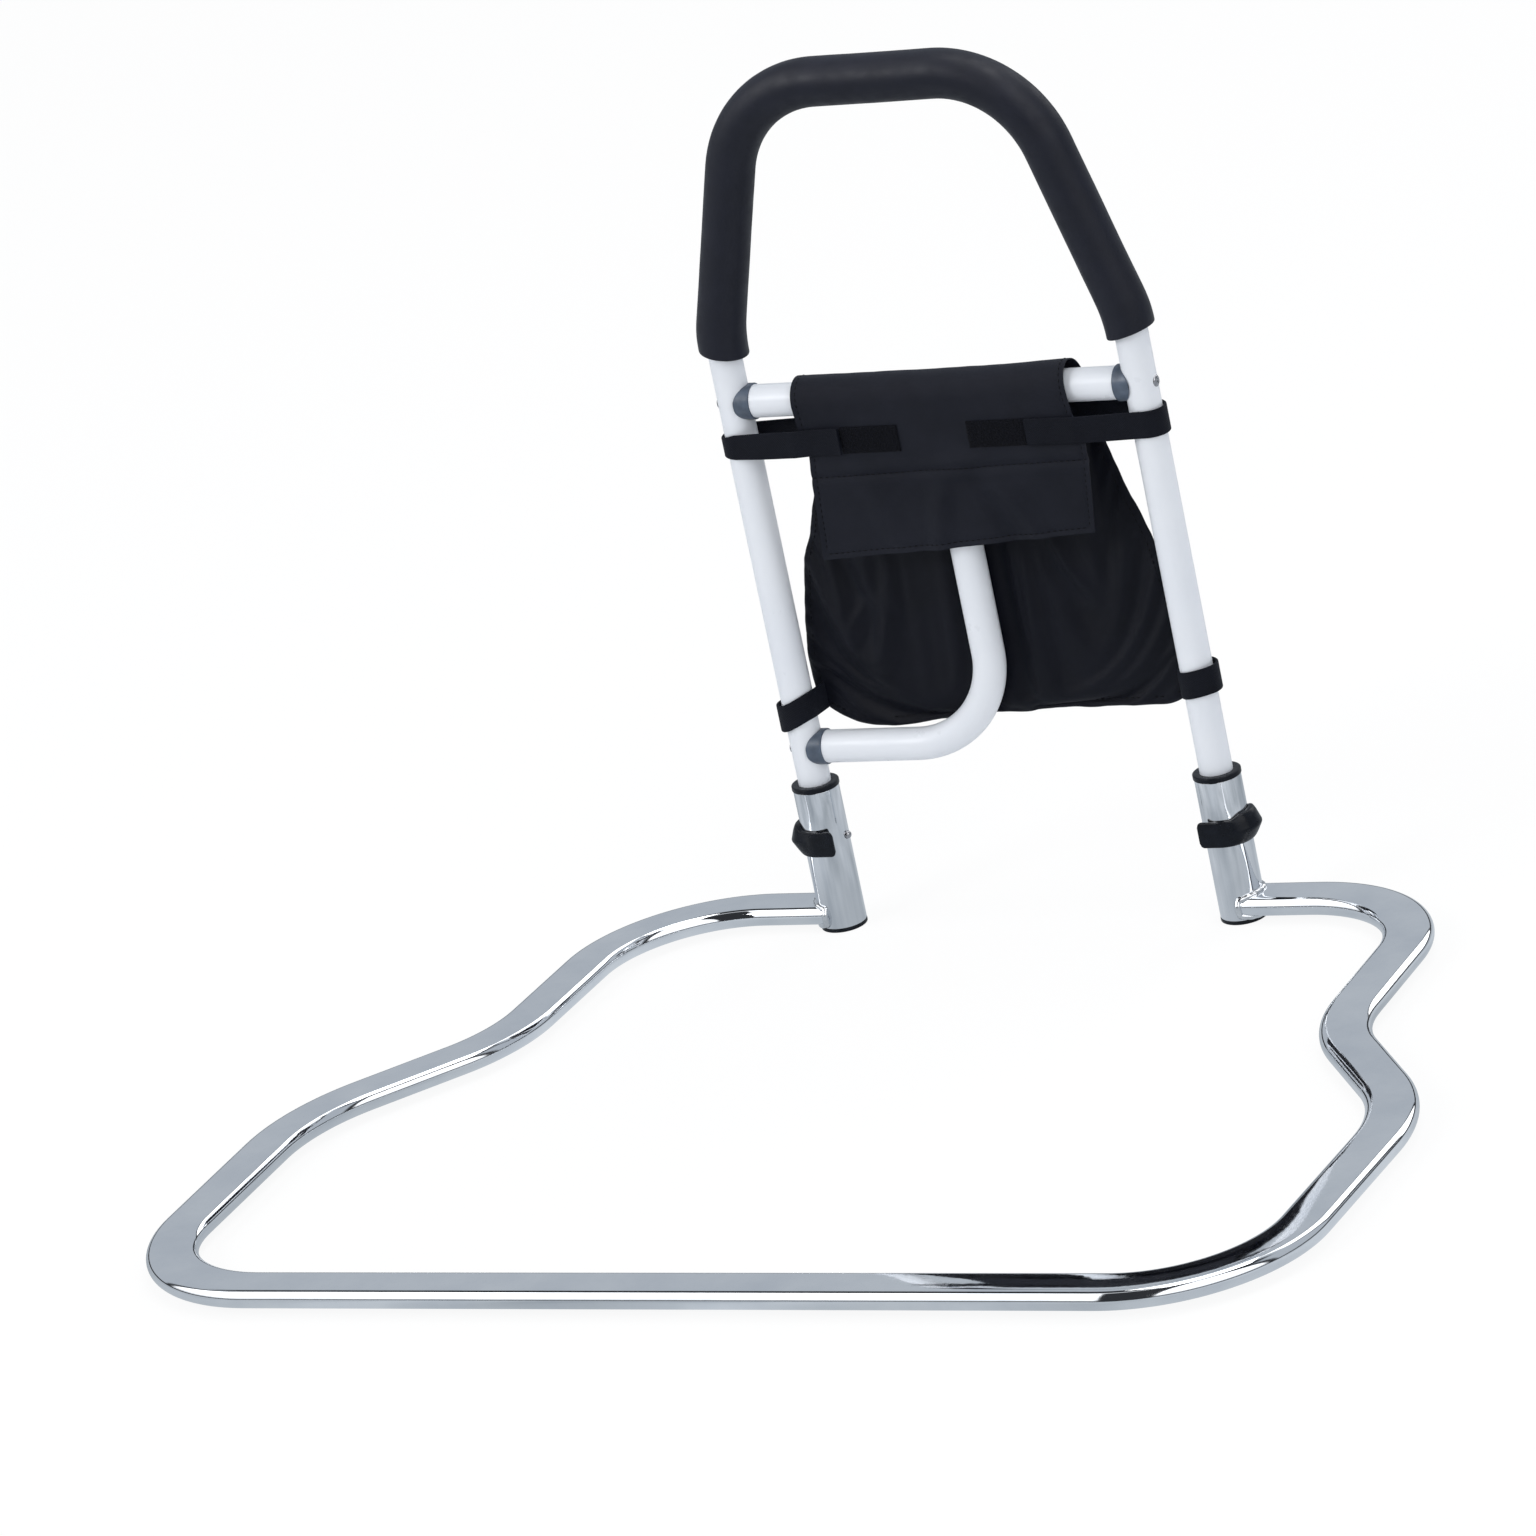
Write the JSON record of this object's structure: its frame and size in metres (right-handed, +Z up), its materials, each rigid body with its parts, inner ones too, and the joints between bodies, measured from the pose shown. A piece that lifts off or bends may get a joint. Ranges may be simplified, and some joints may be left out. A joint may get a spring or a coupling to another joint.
{
  "type": "bedside assist rail",
  "caption": "Grab handle with foam grip, brace and cloth storage bag, locked by clip pins into a chrome base loop that slides under a mattress.",
  "frame": {"origin": "middle of the footprint, on the surface that the socket caps stand on", "axes": "+X along the crossbar towards the leg without the brace, +Y away from the bed, from the base loop's front tube to the handle, +Z up along the legs"},
  "size_m": [0.9138, 0.735, 0.6811],
  "materials": {
    "chrome": "polished",
    "weld": "plated weld bead",
    "white_coat": "satin powder coat",
    "foam": "matt closed-cell foam",
    "black_plastic": "fine moulded grain",
    "grey_plastic": "satin",
    "dark_plastic": "moulded",
    "steel": "zinc plated",
    "bag_cloth": "coated polyester weave",
    "strap_web": "woven tape",
    "hook_tape": "hook tape"
  },
  "bodies": {
    "frame": {"base_tube": "chrome", "left_socket": "chrome", "right_socket": "chrome", "socket_welds": "weld", "left_socket_cap": "black_plastic", "right_socket_cap": "black_plastic", "left_socket_collar": "black_plastic", "right_socket_collar": "black_plastic", "handle_tube": "white_coat", "foam_grip": "foam", "left_leg_plug": "dark_plastic", "right_leg_plug": "dark_plastic", "crossbar": "white_coat", "left_crossbar_saddle": "grey_plastic", "right_crossbar_saddle": "grey_plastic", "left_crossbar_insert": "dark_plastic", "right_crossbar_insert": "dark_plastic", "crossbar_screws": "steel", "brace_tube": "white_coat", "brace_lower_saddle": "grey_plastic", "brace_upper_saddle": "grey_plastic", "brace_lower_insert": "dark_plastic", "brace_upper_insert": "dark_plastic", "brace_screws": "steel", "bag_sleeve": "bag_cloth", "bag_pouch": "bag_cloth", "left_hook_patch": "hook_tape", "right_hook_patch": "hook_tape", "left_upper_strap": "strap_web", "right_upper_strap": "strap_web", "left_lower_strap": "strap_web", "right_lower_strap": "strap_web"},
    "left_lock": {"left_lock_clip": "black_plastic", "left_lock_pin": "steel"},
    "right_lock": {"right_lock_clip": "black_plastic", "right_lock_pin": "steel"},
    "flap": {"bag_flap": "bag_cloth"}
  },
  "joints": [
    {"name": "left_lock_pull", "type": "slide", "parent": "frame", "child": "left_lock", "axis": [-1, 0, 0], "range_m": [0, 0.06]},
    {"name": "right_lock_pull", "type": "slide", "parent": "frame", "child": "right_lock", "axis": [1, 0, 0], "range_m": [0, 0.06]},
    {"name": "flap_lift", "type": "hinge", "parent": "frame", "child": "flap", "pos_m": [0, 0.298, 0.368], "axis": [-1, 0, 0], "range_deg": [0, 90]}
  ]
}
